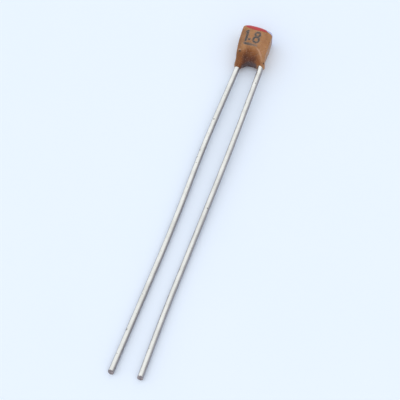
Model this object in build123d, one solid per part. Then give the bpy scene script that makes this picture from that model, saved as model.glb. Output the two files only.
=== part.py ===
"""Miniature ceramic plate capacitor: a dipped lacquer body on two stiff wire leads.

Millimetres. It lies on its back. X runs across the body, Y from the lead tips to the
body's top and Z up. The origin is on the back of the coat, under the middle of the plate.
"""
import os
from math import radians, tan

from build123d import *

# Ceramic plate, and the silver fired on its two faces
PLATE_W = 2.3
PLATE_H = 2.1
PLATE_T = 0.4
PLATE_CORNER_R = 0.12
SILVER_T = 0.02
SILVER_MARGIN = 0.1

# Wire leads: the left one is behind the plate and the right one in front of it
WIRE_D = 0.6
LEAD_PITCH = 2.4
LEAD_SPLAY = 0.25
LEFT_LENGTH = 36.05
RIGHT_LENGTH = 36.3
TIP_BEVEL = 22.0

# Bends of each wire: distance below its leg, drift to the left, and the share of the height kept
LEFT_BENDS = ((9.8, 0.85, 0.5), (19.9, 1.28, 0.0))
LEFT_TIP_DRIFT = 2.54
RIGHT_BENDS = ((10.3, 0.5, 0.5), (22.6, 1.37, 0.0), (29.0, 1.81, 0.0))
RIGHT_TIP_DRIFT = 2.11
BEND_SHARE = 0.45

# Solder between each wire and its silver face
SOLDER_GAP = 0.03
SOLDER_LENGTH = 1.5
SOLDER_SPREAD = 0.2
SOLDER_RISE = 0.24

# Lacquer coat around the plate
COAT_OVER_WIRE = 0.15
COAT_SIDE = 0.28
COAT_TOP = 0.42
CORNER_DROP = 0.2
CORNER_R = 0.22
SHOULDER_DROP = 0.5
SHOULDER_R = 0.55
WAIST_RISE = 0.15
WAIST_R = 1.6
EDGE_R = 0.32
EDGE_SLACK = 0.02
TOP_FRONT_R = 0.7
TOP_BACK_R = 0.5

# Legs of the coat, which run down the wires and lean to the right
LEFT_LEG_DROP = 2.25
RIGHT_LEG_DROP = 1.8
LEG_LEAN = 0.18
LEG_COAT = 0.09
LEFT_EXIT_Z = 0.7
RIGHT_EXIT_Z = 1.0
ARCH_DROP = 1.52

# Hollows: between the legs in front and behind, and over the left leg
FRONT_SCOOP_DROP = 0.45
FRONT_SCOOP_X = 0.12
FRONT_SCOOP_RIDGE = 0.12
FRONT_SCOOP_DEPTH = 0.8
BACK_SCOOP_DROP = 0.3
BACK_SCOOP_R = 2.0
BACK_SCOOP_X = 1.35
BACK_SCOOP_DEPTH = 0.42
LEG_SCOOP_R = 1.5
LEG_SCOOP_DEPTH = 0.85

# Paint on the top edge
PAINT_T = 0.03
PAINT_INSET = 0.06
PAINT_RISE = 0.08
RED_BAND = 0.63
VIOLET_BAND = 0.72
VIOLET_START = 0.62

# Printed number, one and eight tenths, with a bar below it
INK_T = 0.02
DIGIT_H = 1.2
STROKE = 0.15
NUMBER_X = -0.98
NUMBER_Y = -0.68
DOT_GAP = 0.4
EIGHT_GAP = 1.08
UPPER_LOOP_R = 0.31
BAR_LENGTH = 1.3
BAR_DROP = 0.33

WIRE_R = WIRE_D / 2
COAT_T = PLATE_T + 2 * (SILVER_T + SOLDER_GAP + WIRE_D + COAT_OVER_WIRE)
MID_Z = COAT_T / 2
INNER_X = LEAD_PITCH / 2 - LEAD_SPLAY
HALF_W = max(PLATE_W / 2, INNER_X + WIRE_R) + COAT_SIDE
CROWN_Y = PLATE_H / 2 + COAT_TOP
PLATE_LOW_Y = -PLATE_H / 2
LEFT_EXIT = Vector(LEG_LEAN - LEAD_PITCH / 2, PLATE_LOW_Y - LEFT_LEG_DROP, LEFT_EXIT_Z)
RIGHT_EXIT = Vector(LEG_LEAN + LEAD_PITCH / 2, PLATE_LOW_Y - RIGHT_LEG_DROP, RIGHT_EXIT_Z)
FRONT_SCOOP_R = RIGHT_EXIT.X - FRONT_SCOOP_RIDGE - FRONT_SCOOP_X


def corner(face, x, y):
    """The vertex of a flat face that lies nearest to a point."""
    return face.vertices().sort_by_distance(Vector(x, y, 0))[0]


def coat_plan(grow):
    """Front view of the coat: crowned top, leaning legs and the arch between them."""
    side, leg = HALF_W + grow, WIRE_R + LEG_COAT + grow
    waist_y = PLATE_LOW_Y + WAIST_RISE
    top_left = (-side, CROWN_Y - CORNER_DROP + grow)
    top_right = (side, CROWN_Y - SHOULDER_DROP + grow)
    left_waist, right_waist = (-side, waist_y), (side + LEG_LEAN / 2, waist_y)
    low_left, low_right = LEFT_EXIT.Y - grow, RIGHT_EXIT.Y - grow
    left_out, left_in = LEFT_EXIT.X - leg, LEFT_EXIT.X + leg
    right_out, right_in = RIGHT_EXIT.X + leg, RIGHT_EXIT.X - leg
    arch_top = (LEG_LEAN, PLATE_LOW_Y - ARCH_DROP - grow)
    edges = [
        ThreePointArc(top_left, (0, CROWN_Y + grow), top_right),
        Polyline(top_right, right_waist, (right_out, low_right), (right_in, low_right)),
        ThreePointArc((right_in, low_right), arch_top, (left_in, low_left)),
        Polyline((left_in, low_left), (left_out, low_left), left_waist, top_left),
    ]
    face = make_face([e for curve in edges for e in curve.edges()])
    for waist in (left_waist, right_waist):
        face = fillet(corner(face, *waist), WAIST_R + grow)
    face = fillet(corner(face, *top_left), CORNER_R + grow)
    return fillet(corner(face, *top_right), SHOULDER_R + grow)


def coat_profile(grow):
    """Side view of the coat in Y and Z: flat back, round top and legs that taper to the wires."""
    leg_low = LEFT_EXIT_Z - WIRE_R - LEG_COAT
    leg_high = RIGHT_EXIT_Z + WIRE_R + LEG_COAT
    low_y = min(LEFT_EXIT.Y, RIGHT_EXIT.Y) - grow
    back_y = PLATE_LOW_Y - ARCH_DROP / 2
    points = [
        (CROWN_Y + grow, -grow), (back_y, -grow), (low_y, leg_low - grow),
        (low_y, leg_high + grow), (PLATE_LOW_Y, COAT_T + grow), (CROWN_Y + grow, COAT_T + grow),
    ]
    face = make_face(Polyline(*points, close=True).edges())
    face = fillet(corner(face, *points[0]), TOP_BACK_R + grow)
    return fillet(corner(face, *points[-1]), TOP_FRONT_R + grow)


def scoop(x, drop, face_z, depth, radius, side):
    """A round gouge that starts below the plate and deepens towards the arch."""
    start = Vector(x, PLATE_LOW_Y - drop, face_z + side * radius)
    run = Vector(0, drop - ARCH_DROP, -side * depth)
    plane = Plane(origin=start - run, z_dir=run)
    return plane * Cylinder(radius, 5 * run.length, align=(Align.CENTER, Align.CENTER, Align.MIN))


def leg_scoop(grow):
    """A round hollow across the front of the left leg, which has no wire in front."""
    centre = (0, LEFT_EXIT.Y, COAT_T - LEG_SCOOP_DEPTH + LEG_SCOOP_R)
    align = (Align.CENTER, Align.CENTER, Align.MAX)
    return Location(centre) * Rot(Y=90) * Cylinder(LEG_SCOOP_R - grow, 2 * HALF_W, align=align)


def rounded_block(grow):
    """A block as deep as the coat that widens with its sides and rounds its long edges."""
    high = COAT_T + 2 * grow
    low_y = min(LEFT_EXIT.Y, RIGHT_EXIT.Y) - 2 * EDGE_SLACK - grow
    rows = [
        (CROWN_Y + 2 * EDGE_SLACK + grow, -HALF_W, HALF_W),
        (PLATE_LOW_Y + WAIST_RISE, -HALF_W, HALF_W + LEG_LEAN / 2),
        (low_y, LEFT_EXIT.X - WIRE_R - LEG_COAT, RIGHT_EXIT.X + WIRE_R + LEG_COAT),
    ]
    sections = []
    for y, left, right in rows:
        width = right - left + 2 * (grow + EDGE_SLACK)
        outline = RectangleRounded(width, high, EDGE_R + grow)
        sections.append(Plane.XZ.offset(-y) * Pos((left + right) / 2, MID_Z) * outline)
    return loft(sections, ruled=True)


def coat_shell(grow=0.0):
    """The coat's outer form as one solid, swollen evenly by a small amount."""
    size = 4 * HALF_W
    plan = Pos(0, 0, -COAT_T) * extrude(coat_plan(grow), 3 * COAT_T)
    profile = extrude(Plane.YZ.offset(-size / 2) * coat_profile(grow), size)
    body = rounded_block(grow) & plan & profile
    body -= scoop(FRONT_SCOOP_X, FRONT_SCOOP_DROP, COAT_T, FRONT_SCOOP_DEPTH,
                  FRONT_SCOOP_R - grow, 1)
    body -= scoop(BACK_SCOOP_X, BACK_SCOOP_DROP, 0, BACK_SCOOP_DEPTH, BACK_SCOOP_R - grow, -1)
    return body - leg_scoop(grow)


def lead_route(x, inner_z, leave, bends, tip_drift, length):
    """Corner points of one lead: along the silver, out of its leg and down to the rest plane."""
    top_y = PLATE_LOW_Y + SILVER_MARGIN + SOLDER_LENGTH
    points = [Vector(x, top_y, inner_z), Vector(x, PLATE_LOW_Y, inner_z), leave]
    for run, drift, share in bends:
        points.append(Vector(leave.X - drift, leave.Y - run, WIRE_R + share * (leave.Z - WIRE_R)))
    return points + [Vector(leave.X - tip_drift, leave.Y - length, WIRE_R)]


def wire_path(points):
    """Straight runs joined by arcs as large as the runs allow."""
    radii = []
    for before, at, after in zip(points, points[1:], points[2:]):
        turn = (at - before).get_angle(after - at)
        shorter = min((at - before).length, (after - at).length)
        radii.append(BEND_SHARE * shorter / tan(radians(turn / 2)))
    print("lead bend radii", [round(radius, 1) for radius in radii])
    return FilletPolyline(*points, radius=radii)


def wire(points):
    """One lead: a round wire along its path, cut at a slant that faces up and outward."""
    path = wire_path(points)
    body = sweep(Plane(origin=path @ 0, z_dir=path % 0) * Circle(WIRE_R), path)
    tip = Plane(origin=points[-1], x_dir=(1, 0, 0), z_dir=path % 1)
    heel = WIRE_R * tan(radians(TIP_BEVEL))
    block = Box(4 * WIRE_D, 4 * WIRE_D, 4 * WIRE_D, align=(Align.CENTER, Align.CENTER, Align.MIN))
    return body - tip * Pos(0, 0, -heel) * Rot(X=-TIP_BEVEL) * block


def plate():
    """The ceramic plate with its four upright corners eased."""
    block = Pos(0, 0, MID_Z) * Box(PLATE_W, PLATE_H, PLATE_T)
    return fillet(block.edges().filter_by(Axis.Z), PLATE_CORNER_R)


def electrode(side):
    """Silver on the front or the back face of the plate, set in from its edges."""
    z = MID_Z + side * (PLATE_T + SILVER_T) / 2
    margin = 2 * SILVER_MARGIN
    return Pos(0, 0, z) * Box(PLATE_W - margin, PLATE_H - margin, SILVER_T)


def solder(x, side, lead):
    """A mound of solder on the silver, wider at its foot, with its wire bedded in it."""
    silver_edge = PLATE_W / 2 - SILVER_MARGIN
    wide = WIRE_R + SOLDER_SPREAD
    foot = [max(-silver_edge, x - wide), min(silver_edge, x + wide)]
    crest = [max(foot[0], x - WIRE_R), min(foot[1], x + WIRE_R)]
    foot_z = MID_Z + side * (PLATE_T / 2 + SILVER_T)
    crest_z = foot_z + side * (SOLDER_GAP + SOLDER_RISE)
    outline = Polyline((foot[0], foot_z), (foot[1], foot_z), (crest[1], crest_z),
                       (crest[0], crest_z), close=True)
    start = Plane.XZ.offset(-PLATE_LOW_Y - SILVER_MARGIN)
    return extrude(start * make_face(outline.edges()), -SOLDER_LENGTH) - lead


def paint(swollen, shell, low_x, high_x, band):
    """A skin of paint on the coat's top edge, clear of its back, between two X values."""
    high = CROWN_Y + 2 * PAINT_T
    align = (Align.MIN, Align.MAX, Align.MIN)
    box = Box(high_x - low_x, band + 2 * PAINT_T, 2 * COAT_T, align=align)
    return (swollen & Pos(low_x, high, PAINT_RISE) * box) - shell


def number():
    """The printed figures and their bar, as flat shapes on the front of the coat."""
    lower_loop_r = (DIGIT_H + STROKE) / 2 - UPPER_LOOP_R
    low = (Align.CENTER, Align.MIN)
    one = Pos(NUMBER_X, NUMBER_Y) * Rectangle(STROKE, DIGIT_H, align=low)
    dot = Pos(NUMBER_X + DOT_GAP, NUMBER_Y + STROKE) * Circle(STROKE / 2)
    eight = []
    for radius, y in ((lower_loop_r, lower_loop_r), (UPPER_LOOP_R, DIGIT_H - UPPER_LOOP_R)):
        ring = Circle(radius) - Circle(radius - STROKE)
        eight.append(Pos(NUMBER_X + EIGHT_GAP, NUMBER_Y + y) * ring)
    bar = Pos(NUMBER_X - STROKE / 2, NUMBER_Y - BAR_DROP) * Rectangle(
        BAR_LENGTH, STROKE, align=(Align.MIN, Align.CENTER))
    shapes = [one, dot, eight[0] + eight[1], bar]
    return Compound([extrude(Pos(0, 0, COAT_T) * shape, INK_T).solid() for shape in shapes])


def build():
    """Every piece by the name of its node."""
    left = wire(lead_route(-INNER_X, COAT_OVER_WIRE + WIRE_R, LEFT_EXIT,
                           LEFT_BENDS, LEFT_TIP_DRIFT, LEFT_LENGTH))
    right = wire(lead_route(INNER_X, COAT_T - COAT_OVER_WIRE - WIRE_R, RIGHT_EXIT,
                            RIGHT_BENDS, RIGHT_TIP_DRIFT, RIGHT_LENGTH))
    core = {
        "ceramic_plate": plate(),
        "front_electrode": electrode(1),
        "back_electrode": electrode(-1),
        "front_solder": solder(INNER_X, 1, right),
        "back_solder": solder(-INNER_X, -1, left),
        "left_lead": left,
        "right_lead": right,
    }
    shell = coat_shell()
    coat = shell
    for piece in core.values():
        coat -= piece
    swollen = coat_shell(PAINT_T)
    side, border = HALF_W - PAINT_INSET, VIOLET_START * HALF_W
    skins = {
        "lacquer_coat": coat,
        "red_mark": paint(swollen, shell, -side, border, RED_BAND),
        "violet_mark": paint(swollen, shell, border, side, VIOLET_BAND),
        "value_print": number(),
    }
    return {**core, **skins}


os.makedirs("parts", exist_ok=True)
for name, shape in build().items():
    print(name, shape.is_valid, round(shape.volume, 4), len(shape.solids()))
    export_step(shape, f"parts/{name}.step")
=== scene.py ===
import math

import bpy
import numpy as np
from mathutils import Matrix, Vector, noise


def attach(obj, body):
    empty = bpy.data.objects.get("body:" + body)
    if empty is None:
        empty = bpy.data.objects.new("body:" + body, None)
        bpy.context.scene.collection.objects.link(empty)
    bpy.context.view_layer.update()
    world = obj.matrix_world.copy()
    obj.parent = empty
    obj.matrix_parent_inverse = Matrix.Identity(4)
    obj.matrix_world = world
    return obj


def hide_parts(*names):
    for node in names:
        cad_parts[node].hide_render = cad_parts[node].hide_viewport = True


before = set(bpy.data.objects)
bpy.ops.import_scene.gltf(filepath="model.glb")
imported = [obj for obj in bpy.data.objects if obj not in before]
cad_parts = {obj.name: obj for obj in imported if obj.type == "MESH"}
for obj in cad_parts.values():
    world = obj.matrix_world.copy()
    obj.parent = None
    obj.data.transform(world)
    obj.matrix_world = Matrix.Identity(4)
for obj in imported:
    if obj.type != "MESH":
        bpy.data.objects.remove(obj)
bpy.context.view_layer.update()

BODY = "root"
MM = 0.001

# Sizes in millimetres, in the frame's axes: X across, Y up the body, Z out of its front
WIRE_R = 0.3
COAT_T = 2.0
HALF_W = 1.53
CROWN_Y = 1.47
PLATE_LOW_Y = -1.05
LEFT_EXIT = (-1.02, -3.3, 0.7)
RIGHT_EXIT = (1.38, -2.85, 1.0)
WIRE_LIFT = 0.45
WIRE_TOP_Y = 0.55
SEAT_X = 0.95
LEFT_SEAT = (-SEAT_X, PLATE_LOW_Y, WIRE_LIFT)
RIGHT_SEAT = (SEAT_X, PLATE_LOW_Y, COAT_T - WIRE_LIFT)

# Corner points of each lead, from inside the coat to its tip
LEFT_ROUTE = [
    (-SEAT_X, WIRE_TOP_Y, WIRE_LIFT), LEFT_SEAT, LEFT_EXIT,
    (-1.87, -13.1, 0.5), (-2.3, -23.2, WIRE_R), (-3.56, -39.35, WIRE_R),
]
RIGHT_ROUTE = [
    (SEAT_X, WIRE_TOP_Y, COAT_T - WIRE_LIFT), RIGHT_SEAT, RIGHT_EXIT, (0.88, -13.15, 0.65),
    (0.01, -25.45, WIRE_R), (-0.43, -31.85, WIRE_R), (-0.73, -39.15, WIRE_R),
]

# The leads' bends, rings, dents and cut tips
BEND_SHARE = 0.45
WIRE_SIDES = 48
RING_STEP = 0.09
WAVE_DEPTH = 0.008
KNOCK_DEPTH = 0.05
KNOCK_FROM = 0.4
TIP_BEVEL = math.radians(22)
TIP_RINGS = 8
TIP_RAGGED = 0.02
TIP_ROUGH = 0.03
CAP_SHARES = (0.85, 0.6, 0.3)

# Grids, each wider than what is drawn on it: low corner, high corner and step
COAT_GRID = ((-1.75, -3.6, 0), (1.95, 1.65, 2.15), 0.036)
RED_GRID = ((-1.6, 0.75, 0), (1.2, 1.6, 2.1), 0.022)
VIOLET_GRID = ((0.7, 0.6, 0), (1.7, 1.5, 2.1), 0.022)
INK_GRID = ((-1.25, -1.3, 1.85), (0.6, 0.8, 2.1), 0.014)

# The paper that the part lies on
PAPER_HALF = 400.0
PAPER_CELLS = 40
PAPER_FLAT_TO = 200.0
PAPER_SLOPE = 0.1


# Fields: each gives a distance in millimetres, negative inside

def round_max(a, b, radius):
    """Both shapes at once, with the edge between them rounded."""
    inner = np.minimum(np.maximum(a, b), -radius)
    return inner + np.hypot(np.maximum(a + radius, 0), np.maximum(b + radius, 0))


def soft_min(a, b, blend):
    """Either shape, with the corner between them filled."""
    near = np.maximum(blend - np.abs(a - b), 0) / blend
    return np.minimum(a, b) - near * near * blend / 4


def ramp(value, low, high):
    """0 below low, 1 above high, and a smooth step between."""
    t = np.clip((value - low) / (high - low), 0, 1)
    return t * t * (3 - 2 * t)


def capsule(x, y, z, start, end, start_r, end_r):
    """A tapered rod with round ends."""
    run = np.subtract(end, start)
    along = (x - start[0]) * run[0] + (y - start[1]) * run[1] + (z - start[2]) * run[2]
    along = np.clip(along / run.dot(run), 0, 1)
    off = [p - s - along * r for p, s, r in zip((x, y, z), start, run)]
    return np.sqrt(off[0] ** 2 + off[1] ** 2 + off[2] ** 2) - start_r - along * (end_r - start_r)


def ball(x, y, z, centre, radius):
    """A round lump or dent."""
    return np.sqrt((x - centre[0]) ** 2 + (y - centre[1]) ** 2 + (z - centre[2]) ** 2) - radius


def circle_through(a, b, c):
    """Centre and radius of the circle through three points."""
    (ax, ay), (bx, by), (cx, cy) = a, b, c
    a2, b2, c2 = ax**2 + ay**2, bx**2 + by**2, cx**2 + cy**2
    d = 2 * (ax * (by - cy) + bx * (cy - ay) + cx * (ay - by))
    ux = (a2 * (by - cy) + b2 * (cy - ay) + c2 * (ay - by)) / d
    uy = (a2 * (cx - bx) + b2 * (ax - cx) + c2 * (bx - ax)) / d
    return ux, uy, math.hypot(ax - ux, ay - uy)


# Sizes of the coat's hollows, edges and small marks
CROWN = circle_through((-HALF_W, CROWN_Y - 0.12), (0, CROWN_Y + 0.03), (HALF_W, CROWN_Y - 0.34))
ARCH_X = 0.2
ARCH_Y = -3.46
ARCH_R = 0.8
SCOOP_X = -0.05
SCOOP_R = 1.9
SCOOP_TOP = (-1.45, COAT_T)
SCOOP_FOOT = (-2.57, COAT_T - 0.8)
SCOOP_WALL = (1.33, -3.1)
SCOOP_WALL_BOW = 0.31
LEG_HOLLOW_SIDE_X = -0.2
LEG_HOLLOW_R = 1.5
LEG_HOLLOW_DEPTH = 0.85
BACK_HOLLOW_X = 1.35
BACK_HOLLOW_R = 2.0
BACK_HOLLOW_DEPTH = 0.42
FRONT_FALL_Y = -1.2
FRONT_FALL = 0.3
BACK_RISE_Y = -1.91
BACK_RISE = 0.22
LEG_END_Y = LEFT_EXIT[1] - 0.16
LEFT_LEG_RADII = (0.42, 0.36)
RIGHT_LEG_RADII = (0.37, 0.33)
LEFT_SHOULDER_R = 0.1
RIGHT_SHOULDER_R = 0.2
TOP_EDGE_R = 0.55
BACK_EDGE_R = 0.34
LEFT_EDGE_R = 0.16
RIGHT_EDGE_R = 0.28
FOOT_EDGE_R = 0.2
HOLLOW_EDGE_R = 0.14
ARCH_EDGE_R = 0.2
DRIP = ((1.43, -2.45, 1.05), (1.6, -2.85, 0.95))
DRIP_RADII = (0.16, 0.13)
RIDGE = [
    (0.35, -1.2, 1.91), (0.75, -1.5, 1.85), (1.05, -1.95, 1.73),
    (1.33, -2.45, 1.55), (1.47, -2.85, 1.28),
]
RIDGE_R = 0.1
PIT = (-1.17, -2.05, 1.86)
PIT_R = 0.15
BEAD = (-1.22, -1.88, 1.8)
BEAD_R = 0.08
NICK = (1.48, -2.64, 1.42)
NICK_R = 0.1

# How far paint and ink stand above the coat and reach into it
RED_SKIN = (0.014, 0.05)
VIOLET_SKIN = (0.012, 0.05)
INK_SKIN = (0.008, 0.04)
PAINT_EDGE_R = 0.01
INK_EDGE_R = 0.005


def swell(x, y, z):
    """Slow unevenness of the dipped lacquer."""
    broad = 0.012 * np.sin(2.1 * x + 0.7) * np.sin(1.7 * y - 0.4)
    slanted = 0.008 * np.sin(4.3 * x - 1.1 * y + 2 * z)
    return broad + slanted + 0.006 * np.sin(3.1 * y + 5.2 * x)


def block(x, y, z):
    """The coat before its hollows: crowned top, flat back and sides that lean with the legs."""
    left = -x - HALF_W - 0.09 * ramp(y, -2.0, -0.6) + 0.12 * ramp(-y, 1.7, 2.8)
    right = x - HALF_W - 0.06 - 0.04 * ramp(-y, -1.0, 0.6)
    right = right + 0.12 * ramp(-y, 0.3, 2.0) - 0.08 * ramp(-y, 1.9, 2.5)
    crown = np.hypot(x - CROWN[0], y - CROWN[1]) - CROWN[2]
    front = z - COAT_T + FRONT_FALL * np.maximum(FRONT_FALL_Y - y, 0)
    back = -z + BACK_RISE * np.maximum(BACK_RISE_Y - y, 0)
    foot = -y + LEFT_EXIT[1] + 0.1 + 0.32 * ramp(x, -0.2, 0.8)
    right_shoulder = round_max(right, crown, RIGHT_SHOULDER_R)
    outline = np.maximum(right_shoulder, round_max(left, crown, LEFT_SHOULDER_R))
    outline = round_max(outline, foot, FOOT_EDGE_R)
    body = round_max(outline, back, BACK_EDGE_R)
    top = round_max(crown, front, TOP_EDGE_R)
    left_edge = round_max(top, left, LEFT_EDGE_R)
    right_edge = round_max(top, right, RIGHT_EDGE_R)
    return np.maximum(body, np.maximum(left_edge, right_edge))


def gouge(x, y, z):
    """The round hollow between the legs, which deepens towards the arch."""
    top_y, top_z = SCOOP_TOP
    foot_y, foot_z = SCOOP_FOOT
    length = math.hypot(foot_y - top_y, foot_z - top_z)
    down, deep = (foot_y - top_y) / length, (foot_z - top_z) / length
    rise = (y - top_y) * deep - (z - top_z) * down
    wall = x - SCOOP_WALL[0] + SCOOP_WALL_BOW * np.square(y - SCOOP_WALL[1])
    return round_max(np.hypot(x - SCOOP_X, rise - SCOOP_R) - SCOOP_R, wall, 0.12)


def arch(x, y):
    """The opening between the legs."""
    return np.hypot(x - ARCH_X, np.maximum(y - ARCH_Y, 0)) - ARCH_R


def leg_hollow(x, y, z):
    """The hollow over the left leg, whose wire lies behind."""
    rise = z - COAT_T + LEG_HOLLOW_DEPTH - LEG_HOLLOW_R
    reach = np.hypot(y - LEFT_EXIT[1], rise) - LEG_HOLLOW_R
    return round_max(reach, x - LEG_HOLLOW_SIDE_X, 0.3)


def hollows(x, y, z):
    """Both front hollows, which run into each other."""
    return soft_min(gouge(x, y, z), leg_hollow(x, y, z), 0.25)


def ridge_line(x, y, z):
    """The bead that the lacquer leaves along the right edge of the hollow."""
    runs = [capsule(x, y, z, a, b, RIDGE_R, RIDGE_R) for a, b in zip(RIDGE, RIDGE[1:])]
    return np.minimum.reduce(runs)


def coat(x, y, z):
    """The whole dipped body."""
    body = round_max(block(x, y, z), -hollows(x, y, z), HOLLOW_EDGE_R)
    depth = BACK_HOLLOW_DEPTH * ramp(-y, 1.35, 2.5)
    back_hollow = BACK_HOLLOW_R - np.hypot(x - BACK_HOLLOW_X, z + BACK_HOLLOW_R - depth)
    body = round_max(body, back_hollow, HOLLOW_EDGE_R)
    body = soft_min(body, capsule(x, y, z, RIGHT_SEAT, RIGHT_EXIT, *RIGHT_LEG_RADII), 0.1)
    body = soft_min(body, capsule(x, y, z, LEFT_SEAT, LEFT_EXIT, *LEFT_LEG_RADII), 0.3)
    body = round_max(body, LEG_END_Y - y, 0.06)
    body = round_max(body, -arch(x, y), ARCH_EDGE_R)
    body = soft_min(body, capsule(x, y, z, *DRIP, *DRIP_RADII), 0.1)
    body = soft_min(body, ridge_line(x, y, z), 0.1)
    body = round_max(body, -ball(x, y, z, PIT, PIT_R), 0.06)
    body = round_max(body, -ball(x, y, z, NICK, NICK_R), 0.04)
    body = soft_min(body, ball(x, y, z, BEAD, BEAD_R), 0.1)
    return np.maximum(body + swell(x, y, z) * ramp(z, 0.05, 0.5), -z)


def red_edge(x):
    """Lower edge of the red paint on the front."""
    left_rise = 0.14 * np.clip((-x - 0.3) / 1.1, 0, 2) ** 2
    right_rise = 0.02 * np.clip((x - 0.1) / 0.8, 0, 2) ** 2
    return 0.86 + left_rise + right_rise


def skin(x, y, z, proud, depth):
    """A layer that follows the coat, from below its surface to just above it."""
    body = coat(x, y, z)
    return np.maximum(body - proud, -body - depth)


def paint_border(y):
    """Where the red paint meets the violet, on a slant."""
    return 0.98 - 0.7 * (y - 0.95)


def red_paint(x, y, z):
    """Red paint over the top edge, up to the violet."""
    corner = -x - 1.42 + 0.5 * (1.3 - y)
    region = np.maximum(red_edge(x) - y, np.maximum(corner, x - paint_border(y)))
    return round_max(skin(x, y, z, *RED_SKIN), region, PAINT_EDGE_R)


def violet_paint(x, y, z):
    """Violet paint on the right shoulder."""
    region = np.maximum(0.99 - 0.55 * (x - 1.0) - y, paint_border(y) + 0.02 - x)
    return round_max(skin(x, y, z, *VIOLET_SKIN), region, PAINT_EDGE_R)


def stroke(x, y, points, width):
    """A pen line through points on the front."""
    best = None
    for (ax, ay), (bx, by) in zip(points, points[1:]):
        run = ((x - ax) * (bx - ax) + (y - ay) * (by - ay)) / ((bx - ax) ** 2 + (by - ay) ** 2)
        run = np.clip(run, 0, 1)
        line = np.hypot(x - ax - run * (bx - ax), y - ay - run * (by - ay)) - width / 2
        best = line if best is None else np.minimum(best, line)
    return best


def ring(x, y, centre, wide, high, width):
    """An oval pen line."""
    u, v = (x - centre[0]) / wide, (y - centre[1]) / high
    return np.abs(np.hypot(u, v) - 1) * min(wide, high) - width / 2


def marks(x, y):
    """The printed figures one, point and eight, with the bar below them."""
    one = stroke(x, y, [(-1.04, 0.4), (-0.93, 0.53), (-0.93, -0.66)], 0.22)
    point = np.hypot(x + 0.6, y + 0.42) - 0.13
    upper = ring(x, y, (0.13, 0.34), 0.25, 0.26, 0.18)
    lower = ring(x, y, (0.11, -0.34), 0.29, 0.34, 0.19)
    bar = np.minimum(stroke(x, y, [(-0.92, -1.02), (-0.3, -1.03)], 0.27),
                     stroke(x, y, [(-0.3, -1.03), (0.3, -1.05)], 0.17))
    ragged = 0.018 * np.sin(21 * x + 3 * y) * np.sin(17 * y - 5 * x)
    return np.minimum.reduce([one, point, upper, lower, bar]) + ragged


def print_mark(x, y, z):
    """A thin layer of ink on the front, in the shape of the marks."""
    return round_max(skin(x, y, z, *INK_SKIN), marks(x, y), INK_EDGE_R)


# Surfaces drawn from fields

def field_grid(low, high, step):
    """Coordinates of a grid's points along each axis."""
    return [np.arange(a - 2 * step, b + 2.5 * step, step) for a, b in zip(low, high)]


def net_surface(values, axes):
    """Points and quads of the surface where a grid of values crosses zero."""
    inside = values < 0
    shape = np.array(values.shape) - 1
    corner_sum = np.zeros((*shape, 3))
    crossings = np.zeros(shape)
    cells = {}
    for axis in range(3):
        ahead = [slice(None)] * 3
        behind = [slice(None)] * 3
        ahead[axis] = slice(1, None)
        behind[axis] = slice(None, -1)
        a, b = values[tuple(behind)], values[tuple(ahead)]
        crossed = inside[tuple(behind)] != inside[tuple(ahead)]
        at = np.argwhere(crossed)
        share = a[crossed] / (a[crossed] - b[crossed])
        cells[axis] = (at, inside[tuple(behind)][crossed])
        others = [i for i in range(3) if i != axis]
        for du in (0, 1):
            for dv in (0, 1):
                cell = at.copy()
                cell[:, others[0]] -= du
                cell[:, others[1]] -= dv
                ok = np.all((cell >= 0) & (cell < shape), axis=1)
                crossing = at.astype(float)
                crossing[:, axis] += share
                np.add.at(corner_sum, tuple(cell[ok].T), crossing[ok])
                np.add.at(crossings, tuple(cell[ok].T), 1)
    used = crossings > 0
    number = np.full(shape, -1)
    number[used] = np.arange(np.count_nonzero(used))
    spots = corner_sum[used] / crossings[used][:, None]
    start = np.array([axis[0] for axis in axes])
    points = start + spots * (axes[0][1] - axes[0][0])
    quads = []
    for axis, (at, solid_first) in cells.items():
        u, v = [(1, 2), (2, 0), (0, 1)][axis]
        ring_cells = []
        for du, dv in ((0, 0), (1, 0), (1, 1), (0, 1)):
            cell = at.copy()
            cell[:, u] -= du
            cell[:, v] -= dv
            ring_cells.append(number[tuple(cell.T)])
        quad = np.stack(ring_cells, axis=1)
        quad[~solid_first] = quad[~solid_first][:, ::-1]
        quads.append(quad)
    return points, np.concatenate(quads)


def slope_of(field, points, reach=0.004):
    """Direction in which a field grows, at each point."""
    slopes = []
    for axis in range(3):
        step = np.zeros(3)
        step[axis] = reach
        slopes.append(field(*(points + step).T) - field(*(points - step).T))
    return np.stack(slopes, axis=1) / (2 * reach)


def add_object(name, data):
    """An object of this data, in the scene."""
    added = bpy.data.objects.new(name, data)
    bpy.context.collection.objects.link(added)
    return added


def smooth_mesh(name, points, faces):
    """A smooth-shaded mesh, with its points in metres."""
    mesh = bpy.data.meshes.new(name)
    mesh.from_pydata(points, [], faces)
    mesh.polygons.foreach_set("use_smooth", [True] * len(mesh.polygons))
    return mesh


def draw_field(name, field, low, high, step):
    """A closed mesh piece of a field, with its points pulled onto the exact surface."""
    axes = field_grid(low, high, step)
    points, quads = net_surface(field(*np.meshgrid(*axes, indexing="ij")), axes)
    for _ in range(2):
        slope = slope_of(field, points)
        size = np.maximum((slope ** 2).sum(axis=1), 0.2)
        move = -slope * (field(*points.T) / size)[:, None]
        points = points + np.clip(move, -step / 2, step / 2)
    mesh = smooth_mesh(name, (points * MM).tolist(), quads.tolist())
    return add_object(name, mesh), points


def tone(piece, name, values):
    """Keeps one number per point on a piece, for its material."""
    layer = piece.data.attributes.new(name, "FLOAT", "POINT")
    layer.data.foreach_set("value", np.asarray(values, dtype=np.float32))


def place(piece, slot, material, *nodes):
    """Gives a piece its material and its body, and hides the nodes that it stands for; the slot
    is not used.
    """
    piece.data.materials.append(material)
    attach(piece, BODY)
    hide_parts(*nodes)


# Wires

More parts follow.
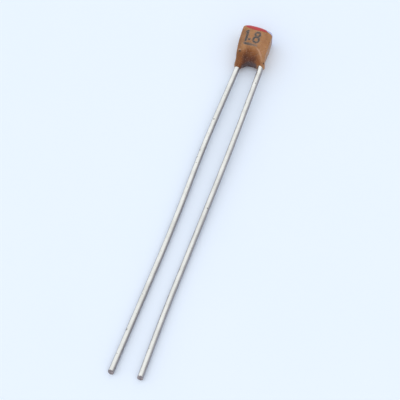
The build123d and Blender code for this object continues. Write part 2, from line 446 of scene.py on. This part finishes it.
def lead_line(route):
    """Points along a lead: straight runs joined by curves, a ring's step apart."""
    corners = [Vector(p) for p in route]
    line = [corners[0]]
    for before, at, after in zip(corners, corners[1:], corners[2:]):
        reach = BEND_SHARE * min((at - before).length, (after - at).length)
        start = at + (before - at).normalized() * reach
        end = at + (after - at).normalized() * reach
        count = max(4, round(2 * reach / RING_STEP))
        straight = max(1, round((start - line[-1]).length / RING_STEP))
        line += [line[-1].lerp(start, i / straight) for i in range(1, straight)]
        for i in range(count + 1):
            t = i / count
            line.append(start.lerp(at, t).lerp(at.lerp(end, t), t))
    straight = max(1, round((corners[-1] - line[-1]).length / RING_STEP))
    last = line[-1]
    line += [last.lerp(corners[-1], i / straight) for i in range(1, straight + 1)]
    return line


def surface_dent(angle, along, seed):
    """How far the wire's skin stands in from round, from slow waves and short knocks."""
    across, rise = math.cos(angle), math.sin(angle)
    slow = noise.noise(Vector((2.2 * across, 2.2 * rise, along * 0.8 + seed)))
    knock = noise.noise(Vector((1.1 * across, 1.1 * rise, along * 3.1 - seed)))
    return WAVE_DEPTH * slow + KNOCK_DEPTH * max(0.0, knock - KNOCK_FROM)


def draw_wire(name, route, seed):
    """A lead as a tube with small dents, knocks and a slanted sheared tip."""
    line = lead_line(route)
    rings = []
    along = 0.0
    for i, point in enumerate(line):
        ahead = line[min(i + 1, len(line) - 1)]
        behind = line[max(i - 1, 0)]
        forward = (ahead - behind).normalized()
        side = Vector((0, 0, 1)).cross(forward).normalized()
        up = forward.cross(side)
        along += (point - behind).length if i else 0.0
        ring = []
        for k in range(WIRE_SIDES):
            angle = 2 * math.pi * k / WIRE_SIDES
            out = side * math.cos(angle) + up * math.sin(angle)
            ring.append(point + out * (WIRE_R - surface_dent(angle, along, seed)))
        rings.append(ring)
    shear_tip(rings, line)
    points = [p for ring in rings for p in ring]
    quads = []
    for i in range(len(rings) - 1):
        for k in range(WIRE_SIDES):
            n = (k + 1) % WIRE_SIDES
            a, b = i * WIRE_SIDES, (i + 1) * WIRE_SIDES
            quads.append((a + k, b + k, b + n, a + n))
    around = np.cos(np.linspace(0, 2 * np.pi, WIRE_SIDES + 1))[:-1]
    # Painted shade: the wire's flanks darkened, standing in for the dim room reflected at its
    # sides
    flank_shades = [max(ramp(c, 0.2, 0.85), ramp(-c, 0.68, 0.9)) for c in around]
    first_cap, last_cap = close_ends(points, rings)
    mesh = smooth_mesh(name, [p * MM for p in points], quads + first_cap + last_cap)
    for polygon in list(mesh.polygons)[len(quads) + len(first_cap):]:
        polygon.material_index = 1
        polygon.use_smooth = False
    piece = add_object(name, mesh)
    on_skin = flank_shades * len(rings)
    tone(piece, "flank_shade", on_skin + [0.0] * (len(points) - len(on_skin)))
    return piece


def shear_tip(rings, line):
    """Slants the last rings back at the top, as cutters leave them."""
    end = line[-1]
    forward = (line[-1] - line[-2]).normalized()
    for ring in rings[-TIP_RINGS:]:
        for k, p in enumerate(ring):
            height = (p.z - end.z) / WIRE_R
            ragged = TIP_RAGGED * math.sin(7 * p.x / WIRE_R + 2 * height)
            limit = -math.tan(TIP_BEVEL) * WIRE_R * (1 + height) + ragged
            past = (p - end).dot(forward) - min(limit, 0.0)
            if past > 0:
                ring[k] = p - forward * past


def close_ends(points, rings):
    """Fans that close both ends, in a few rings; the tip's fan is rough."""
    count = len(rings)
    caps = []
    for index, flip in ((0, True), (count - 1, False)):
        ring = rings[index]
        centre = sum(ring, Vector()) / WIRE_SIDES
        base = index * WIRE_SIDES
        faces = []
        outer = [base + k for k in range(WIRE_SIDES)]
        for share in CAP_SHARES:
            inner = list(range(len(points), len(points) + WIRE_SIDES))
            for k, p in enumerate(ring):
                grain = noise.noise(Vector((3 * share * math.cos(k), 5 * share, k * 0.5)))
                rough = 0.0 if flip else TIP_ROUGH * grain
                points.append(centre.lerp(p, share) + Vector((0, rough, 0)))
            for k in range(WIRE_SIDES):
                n = (k + 1) % WIRE_SIDES
                quad = (outer[k], inner[k], inner[n], outer[n])
                faces.append(quad[::-1] if flip else quad)
            outer = inner
        points.append(centre)
        middle = len(points) - 1
        for k in range(WIRE_SIDES):
            face = (outer[k], middle, outer[(k + 1) % WIRE_SIDES])
            faces.append(face[::-1] if flip else face)
        caps.append(faces)
    return caps


# Materials

def new_material(name):
    """A node material, with its nodes, its links and its shader."""
    material = bpy.data.materials.new(name)
    material.use_nodes = True
    nodes = material.node_tree.nodes
    return material, nodes, material.node_tree.links, nodes["Principled BSDF"]


def noise_node(nodes, links, scale, detail, source):
    """Noise in the object's own space, at a scale in waves per millimetre."""
    texture = nodes.new("ShaderNodeTexNoise")
    texture.inputs["Scale"].default_value = scale / MM
    texture.inputs["Detail"].default_value = detail
    links.new(source, texture.inputs["Vector"])
    return texture.outputs["Fac"]


def mapped(nodes, links, value, low, high, out_low=0.0, out_high=1.0):
    """A value stretched from one range to another."""
    node = nodes.new("ShaderNodeMapRange")
    node.inputs["From Min"].default_value = low
    node.inputs["From Max"].default_value = high
    node.inputs["To Min"].default_value = out_low
    node.inputs["To Max"].default_value = out_high
    links.new(value, node.inputs["Value"])
    return node.outputs["Result"]


def blended(nodes, links, share, first, second):
    """Two colours mixed by a share; each is a colour or another node's output."""
    node = nodes.new("ShaderNodeMix")
    node.data_type = "RGBA"
    links.new(share, node.inputs[0])
    for socket, colour in ((node.inputs[6], first), (node.inputs[7], second)):
        if isinstance(colour, tuple):
            socket.default_value = (*colour, 1.0)
        else:
            links.new(colour, socket)
    return node.outputs[2]


def bump(nodes, links, height, distance, shader):
    """Fine relief, with its depth in millimetres."""
    node = nodes.new("ShaderNodeBump")
    node.inputs["Distance"].default_value = distance * MM
    node.inputs["Strength"].default_value = 1.0
    links.new(height, node.inputs["Height"])
    links.new(node.outputs["Normal"], shader.inputs["Normal"])


def attribute(nodes, name):
    """A number kept on the mesh."""
    node = nodes.new("ShaderNodeAttribute")
    node.attribute_name = name
    return node.outputs["Fac"]


def coordinates(nodes):
    """Positions in the object's own space."""
    return nodes.new("ShaderNodeTexCoord").outputs["Object"]


def lacquer_material():
    """Dipped brown lacquer: tan and slightly dusty on the flats, orange brown in the hollow,
    with painted shade and a painted highlight over it.
    """
    material, nodes, links, shader = new_material("lacquer")
    spot = coordinates(nodes)
    mottle = mapped(nodes, links, noise_node(nodes, links, 1.6, 4, spot), 0.3, 0.7)
    flat = blended(nodes, links, mottle, (0.287, 0.121, 0.042), (0.425, 0.204, 0.084))
    amber = blended(nodes, links, mottle, (0.179, 0.05, 0.007), (0.263, 0.09, 0.016))
    # The darkest brown is painted shade, laid deep in the hollow towards the arch
    deep = blended(nodes, links, mottle, (0.056, 0.012, 0.003), (0.118, 0.028, 0.006))
    colour = flat
    # Over the flat colour: the darkest brown deep in the hollow, the brown on the left side, the
    # dark purple brown under the arch and the dark brown in the dents are painted shade; the
    # pale brown on the ridge and bead is a painted highlight
    layers = {
        "hollow": amber, "deep": deep, "shade": (0.168, 0.078, 0.034),
        "smudge": (0.19, 0.14, 0.129), "lip_shade": (0.076, 0.039, 0.036),
        "painted_highlight": (0.56, 0.336, 0.224), "dark": (0.05, 0.025, 0.014),
    }
    for name, layer in layers.items():
        colour = blended(nodes, links, attribute(nodes, name), colour, layer)
    dust = mapped(nodes, links, noise_node(nodes, links, 9.0, 2, spot), 0.6, 0.7, 0.0, 0.4)
    colour = blended(nodes, links, dust, colour, (0.56, 0.37, 0.269))
    speck = mapped(nodes, links, noise_node(nodes, links, 6.5, 2, spot), 0.64, 0.72)
    colour = blended(nodes, links, speck, colour, (0.146, 0.062, 0.034))
    links.new(colour, shader.inputs["Base Color"])
    roughness = mapped(nodes, links, attribute(nodes, "hollow"), 0.0, 1.0, 0.42, 0.58)
    links.new(roughness, shader.inputs["Roughness"])
    shader.inputs["Specular IOR Level"].default_value = 0.3
    shader.inputs["Coat Weight"].default_value = 0.1
    shader.inputs["Coat Roughness"].default_value = 0.25
    shader.inputs["Subsurface Weight"].default_value = 0.15
    shader.inputs["Subsurface Radius"].default_value = (0.6 * MM, 0.25 * MM, 0.1 * MM)
    shader.inputs["Subsurface Scale"].default_value = 1.0
    bump(nodes, links, noise_node(nodes, links, 5.0, 3, spot), 0.02, shader)
    return material


def paint_material(name, thin, thick):
    """Brushed-on paint, thin in places."""
    material, nodes, links, shader = new_material(name)
    spot = coordinates(nodes)
    patchy = mapped(nodes, links, noise_node(nodes, links, 1.4, 3, spot), 0.35, 0.65)
    links.new(blended(nodes, links, patchy, thin, thick), shader.inputs["Base Color"])
    shader.inputs["Roughness"].default_value = 0.4
    bump(nodes, links, noise_node(nodes, links, 4.0, 3, spot), 0.015, shader)
    return material


def ink_material():
    """Stamped dark ink that lets some lacquer show."""
    material, nodes, links, shader = new_material("ink")
    spot = coordinates(nodes)
    worn = mapped(nodes, links, noise_node(nodes, links, 5.5, 3, spot), 0.46, 0.76)
    colour = blended(nodes, links, worn, (0.054, 0.045, 0.041), (0.246, 0.157, 0.112))
    colour = blended(nodes, links, attribute(nodes, "faint"), colour, (0.224, 0.14, 0.095))
    links.new(colour, shader.inputs["Base Color"])
    shader.inputs["Roughness"].default_value = 0.6
    return material


def tinned_material():
    """Tinned wire: soft bright metal with painted shade on its flanks, dull patches and spots.
    """
    material, nodes, links, shader = new_material("tinned_wire")
    spot = coordinates(nodes)
    stretch = nodes.new("ShaderNodeMapping")
    stretch.inputs["Scale"].default_value = (1.0, 0.12, 1.0)
    links.new(spot, stretch.inputs["Vector"])
    streak = noise_node(nodes, links, 7.0, 4, stretch.outputs["Vector"])
    dull = mapped(nodes, links, noise_node(nodes, links, 0.9, 4, spot), 0.35, 0.7)
    colour = blended(nodes, links, dull, (0.78, 0.775, 0.745), (0.655, 0.65, 0.62))
    # Painted shade and dark reflection along the wire's flanks
    colour = blended(nodes, links, attribute(nodes, "flank_shade"), colour, (0.33, 0.31, 0.33))
    spots = mapped(nodes, links, noise_node(nodes, links, 2.6, 3, spot), 0.66, 0.72)
    colour = blended(nodes, links, spots, colour, (0.28, 0.269, 0.258))
    links.new(colour, shader.inputs["Base Color"])
    shader.inputs["Metallic"].default_value = 1.0
    links.new(mapped(nodes, links, streak, 0.3, 0.7, 0.2, 0.38), shader.inputs["Roughness"])
    bump(nodes, links, streak, 0.012, shader)
    return material


def cut_material():
    """Sheared wire end: dull torn grey metal."""
    material, nodes, links, shader = new_material("cut_end")
    spot = coordinates(nodes)
    torn = mapped(nodes, links, noise_node(nodes, links, 6.0, 4, spot), 0.3, 0.7)
    colour = blended(nodes, links, torn, (0.19, 0.168, 0.179), (0.426, 0.37, 0.381))
    links.new(colour, shader.inputs["Base Color"])
    shader.inputs["Metallic"].default_value = 0.5
    shader.inputs["Roughness"].default_value = 0.6
    bump(nodes, links, noise_node(nodes, links, 8.0, 3, spot), 0.04, shader)
    return material


def inner_material(name, dark, light, metallic, roughness):
    """The finish of a piece that is sealed inside the coat."""
    material, nodes, links, shader = new_material(name)
    grain = mapped(nodes, links, noise_node(nodes, links, 5.0, 3, coordinates(nodes)), 0.3, 0.7)
    links.new(blended(nodes, links, grain, dark, light), shader.inputs["Base Color"])
    shader.inputs["Metallic"].default_value = metallic
    shader.inputs["Roughness"].default_value = roughness
    return material


def paper_material():
    """Matt blue-white paper, very slightly uneven in colour."""
    material, nodes, links, shader = new_material("paper")
    spot = coordinates(nodes)
    cloud = mapped(nodes, links, noise_node(nodes, links, 0.06, 3, spot), 0.3, 0.7)
    colour = blended(nodes, links, cloud, (0.79, 0.862, 0.98), (0.801, 0.868, 0.98))
    links.new(colour, shader.inputs["Base Color"])
    shader.inputs["Roughness"].default_value = 0.85
    shader.inputs["Specular IOR Level"].default_value = 0.2
    return material


# Pieces

def add_body():
    """The coat, its paint and its print."""
    piece, points = draw_field("dipped_coat", coat, *COAT_GRID)
    x, y, z = points.T
    hollow = 1 - ramp(hollows(x, y, z), 0.0, 0.16)
    middle = ramp(x, -1.0, -0.5) * ramp(-x, -1.0, -0.3)
    stained = 1 - ramp(marks(x, y), 0.0, 0.11)
    # Painted highlight: pale brown on the bead and along the ridge
    bead_highlight = 1 - ramp(ball(x, y, z, BEAD, BEAD_R), 0.0, 0.06)
    ridge_highlight = 1 - ramp(ridge_line(x, y, z), -0.02, 0.04)
    dents = np.minimum(ball(x, y, z, PIT, PIT_R), ball(x, y, z, NICK, NICK_R))
    tone(piece, "hollow", hollow)
    # Painted shade: darker towards the arch in the middle of the hollow
    tone(piece, "deep", hollow * middle * ramp(-y, 1.5, 2.5))
    # Painted shade: the left side of the body darker
    tone(piece, "shade", 0.55 * ramp(-x, 0.9, 1.5) * ramp(-y, -1.0, 0.5))
    tone(piece, "smudge", 0.5 * stained * ramp(z, 1.5, 1.8))
    # Painted shade under the arch, with a painted bluish reflection of the paper
    tone(piece, "lip_shade", 1 - ramp(arch(x, y), 0.02, 0.19))
    # Painted highlight on the bead and the ridge
    tone(piece, "painted_highlight", np.maximum(bead_highlight, ridge_highlight))
    # Painted shade: dark brown in the pit and the nick
    tone(piece, "dark", 1 - ramp(dents, -0.02, 0.05))
    place(piece, "lacquer", lacquer_material(), "lacquer_coat")
    piece, _ = draw_field("red_paint", red_paint, *RED_GRID)
    red = paint_material("red_paint", (0.381, 0.034, 0.034), (0.47, 0.022, 0.027))
    place(piece, "red_paint", red, "red_mark")
    piece, _ = draw_field("violet_paint", violet_paint, *VIOLET_GRID)
    violet = paint_material("violet_paint", (0.381, 0.37, 0.582), (0.47, 0.493, 0.717))
    place(piece, "violet_paint", violet, "violet_mark")
    piece, points = draw_field("stamped_number", print_mark, *INK_GRID)
    tone(piece, "faint", ramp(points[:, 0], -0.7, 0.35) * ramp(-points[:, 1], 0.8, 0.95))
    place(piece, "ink", ink_material(), "value_print")


def add_leads():
    """Both wires."""
    tinned, cut = tinned_material(), cut_material()
    for name, route, seed in (("left_wire", LEFT_ROUTE, 3.0), ("right_wire", RIGHT_ROUTE, 11.0)):
        piece = draw_wire(name, route, seed)
        place(piece, "tinned_wire", tinned, name.replace("wire", "lead"))
        piece.data.materials.append(cut)


def dress_inner_nodes():
    """Materials of the nodes that the coat seals in."""
    ceramic = inner_material("ceramic", (0.70, 0.66, 0.58), (0.80, 0.77, 0.70), 0.0, 0.6)
    silver = inner_material("fired_silver", (0.72, 0.72, 0.70), (0.84, 0.84, 0.82), 1.0, 0.45)
    solder = inner_material("solder", (0.50, 0.51, 0.52), (0.66, 0.67, 0.68), 1.0, 0.35)
    finish = {
        "ceramic_plate": ceramic, "front_electrode": silver, "back_electrode": silver,
        "front_solder": solder, "back_solder": solder,
    }
    for name, material in finish.items():
        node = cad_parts[name]
        node.data.materials.clear()
        node.data.materials.append(material)


def add_floor():
    """A wide sheet of paper at the rest plane, which slopes up far behind the part."""
    side = [-PAPER_HALF + 2 * PAPER_HALF * i / PAPER_CELLS for i in range(PAPER_CELLS + 1)]
    points = []
    for y in side:
        height = PAPER_SLOPE * max(0.0, y - PAPER_FLAT_TO)
        points += [Vector((x, y, height)) * MM for x in side]
    row = len(side)
    starts = [j * row + i for j in range(PAPER_CELLS) for i in range(PAPER_CELLS)]
    mesh = bpy.data.meshes.new("paper")
    mesh.from_pydata(points, [], [(a, a + 1, a + row + 1, a + row) for a in starts])
    mesh.materials.append(paper_material())
    floor = add_object("paper", mesh)


# Camera and light, with the camera's aim and distance in metres

AIM = Vector((-0.585, -19.142, 0.0)) * MM
CAMERA_BACK = 150.0 * MM
CAMERA_RISE = math.radians(62.0)
CAMERA_TURN = math.radians(16.0)
CAMERA_LENS = 135.0
ROOM_LOW = 0.69
ROOM_HIGH = 1.13
WINDOW_SIDE = (-0.55, 0.3, 0.78)
LAMP_DISTANCE = 0.5

# Each lamp's direction from the part, side in metres, power in watts and colour
LAMPS = {
    "key": ((-0.4, 0.35, 0.85), 0.8, 0.07, (1.0, 0.95, 0.88)),
    "fill": ((0.1, -0.9, 0.45), 0.6, 0.21, (1.0, 0.91, 0.8)),
}


def add_camera():
    """The photograph's view: from above and below the tips, turned a little to the right."""
    flat = math.cos(CAMERA_RISE)
    across, along = math.sin(CAMERA_TURN) * flat, -math.cos(CAMERA_TURN) * flat
    back = Vector((across, along, math.sin(CAMERA_RISE)))
    data = bpy.data.cameras.new("camera")
    data.lens = CAMERA_LENS
    data.sensor_width = 36.0
    data.clip_start = 0.001
    camera = add_object("camera", data)
    camera.location = AIM + back * CAMERA_BACK
    camera.rotation_euler = (-back).to_track_quat("-Z", "Y").to_euler()
    bpy.context.scene.camera = camera


def add_lamp(name, towards, size, energy, colour):
    """A square soft lamp that faces the part."""
    data = bpy.data.lights.new(name, "AREA")
    data.shape = "SQUARE"
    data.size = size
    data.energy = energy
    data.color = colour
    lamp = add_object(name, data)
    towards = Vector(towards).normalized()
    lamp.location = AIM + towards * LAMP_DISTANCE
    lamp.rotation_euler = towards.to_track_quat("Z", "Y").to_euler()


def light_room():
    """Soft light from all round, brightest from above on the left."""
    world = bpy.data.worlds.new("room")
    bpy.context.scene.world = world
    world.use_nodes = True
    nodes, links = world.node_tree.nodes, world.node_tree.links
    facing = nodes.new("ShaderNodeVectorMath")
    facing.operation = "DOT_PRODUCT"
    facing.inputs[1].default_value = WINDOW_SIDE
    links.new(nodes.new("ShaderNodeTexCoord").outputs["Generated"], facing.inputs[0])
    level = mapped(nodes, links, facing.outputs["Value"], -0.35, 0.75, ROOM_LOW, ROOM_HIGH)
    links.new(level, nodes["Background"].inputs["Strength"])
    nodes["Background"].inputs["Color"].default_value = (0.98, 1.005, 1.02, 1.0)


add_body()
add_leads()
dress_inner_nodes()
add_floor()
add_camera()
for lamp_name, lamp_values in LAMPS.items():
    add_lamp(lamp_name, *lamp_values)
light_room()
bpy.context.scene.view_settings.view_transform = "Standard"
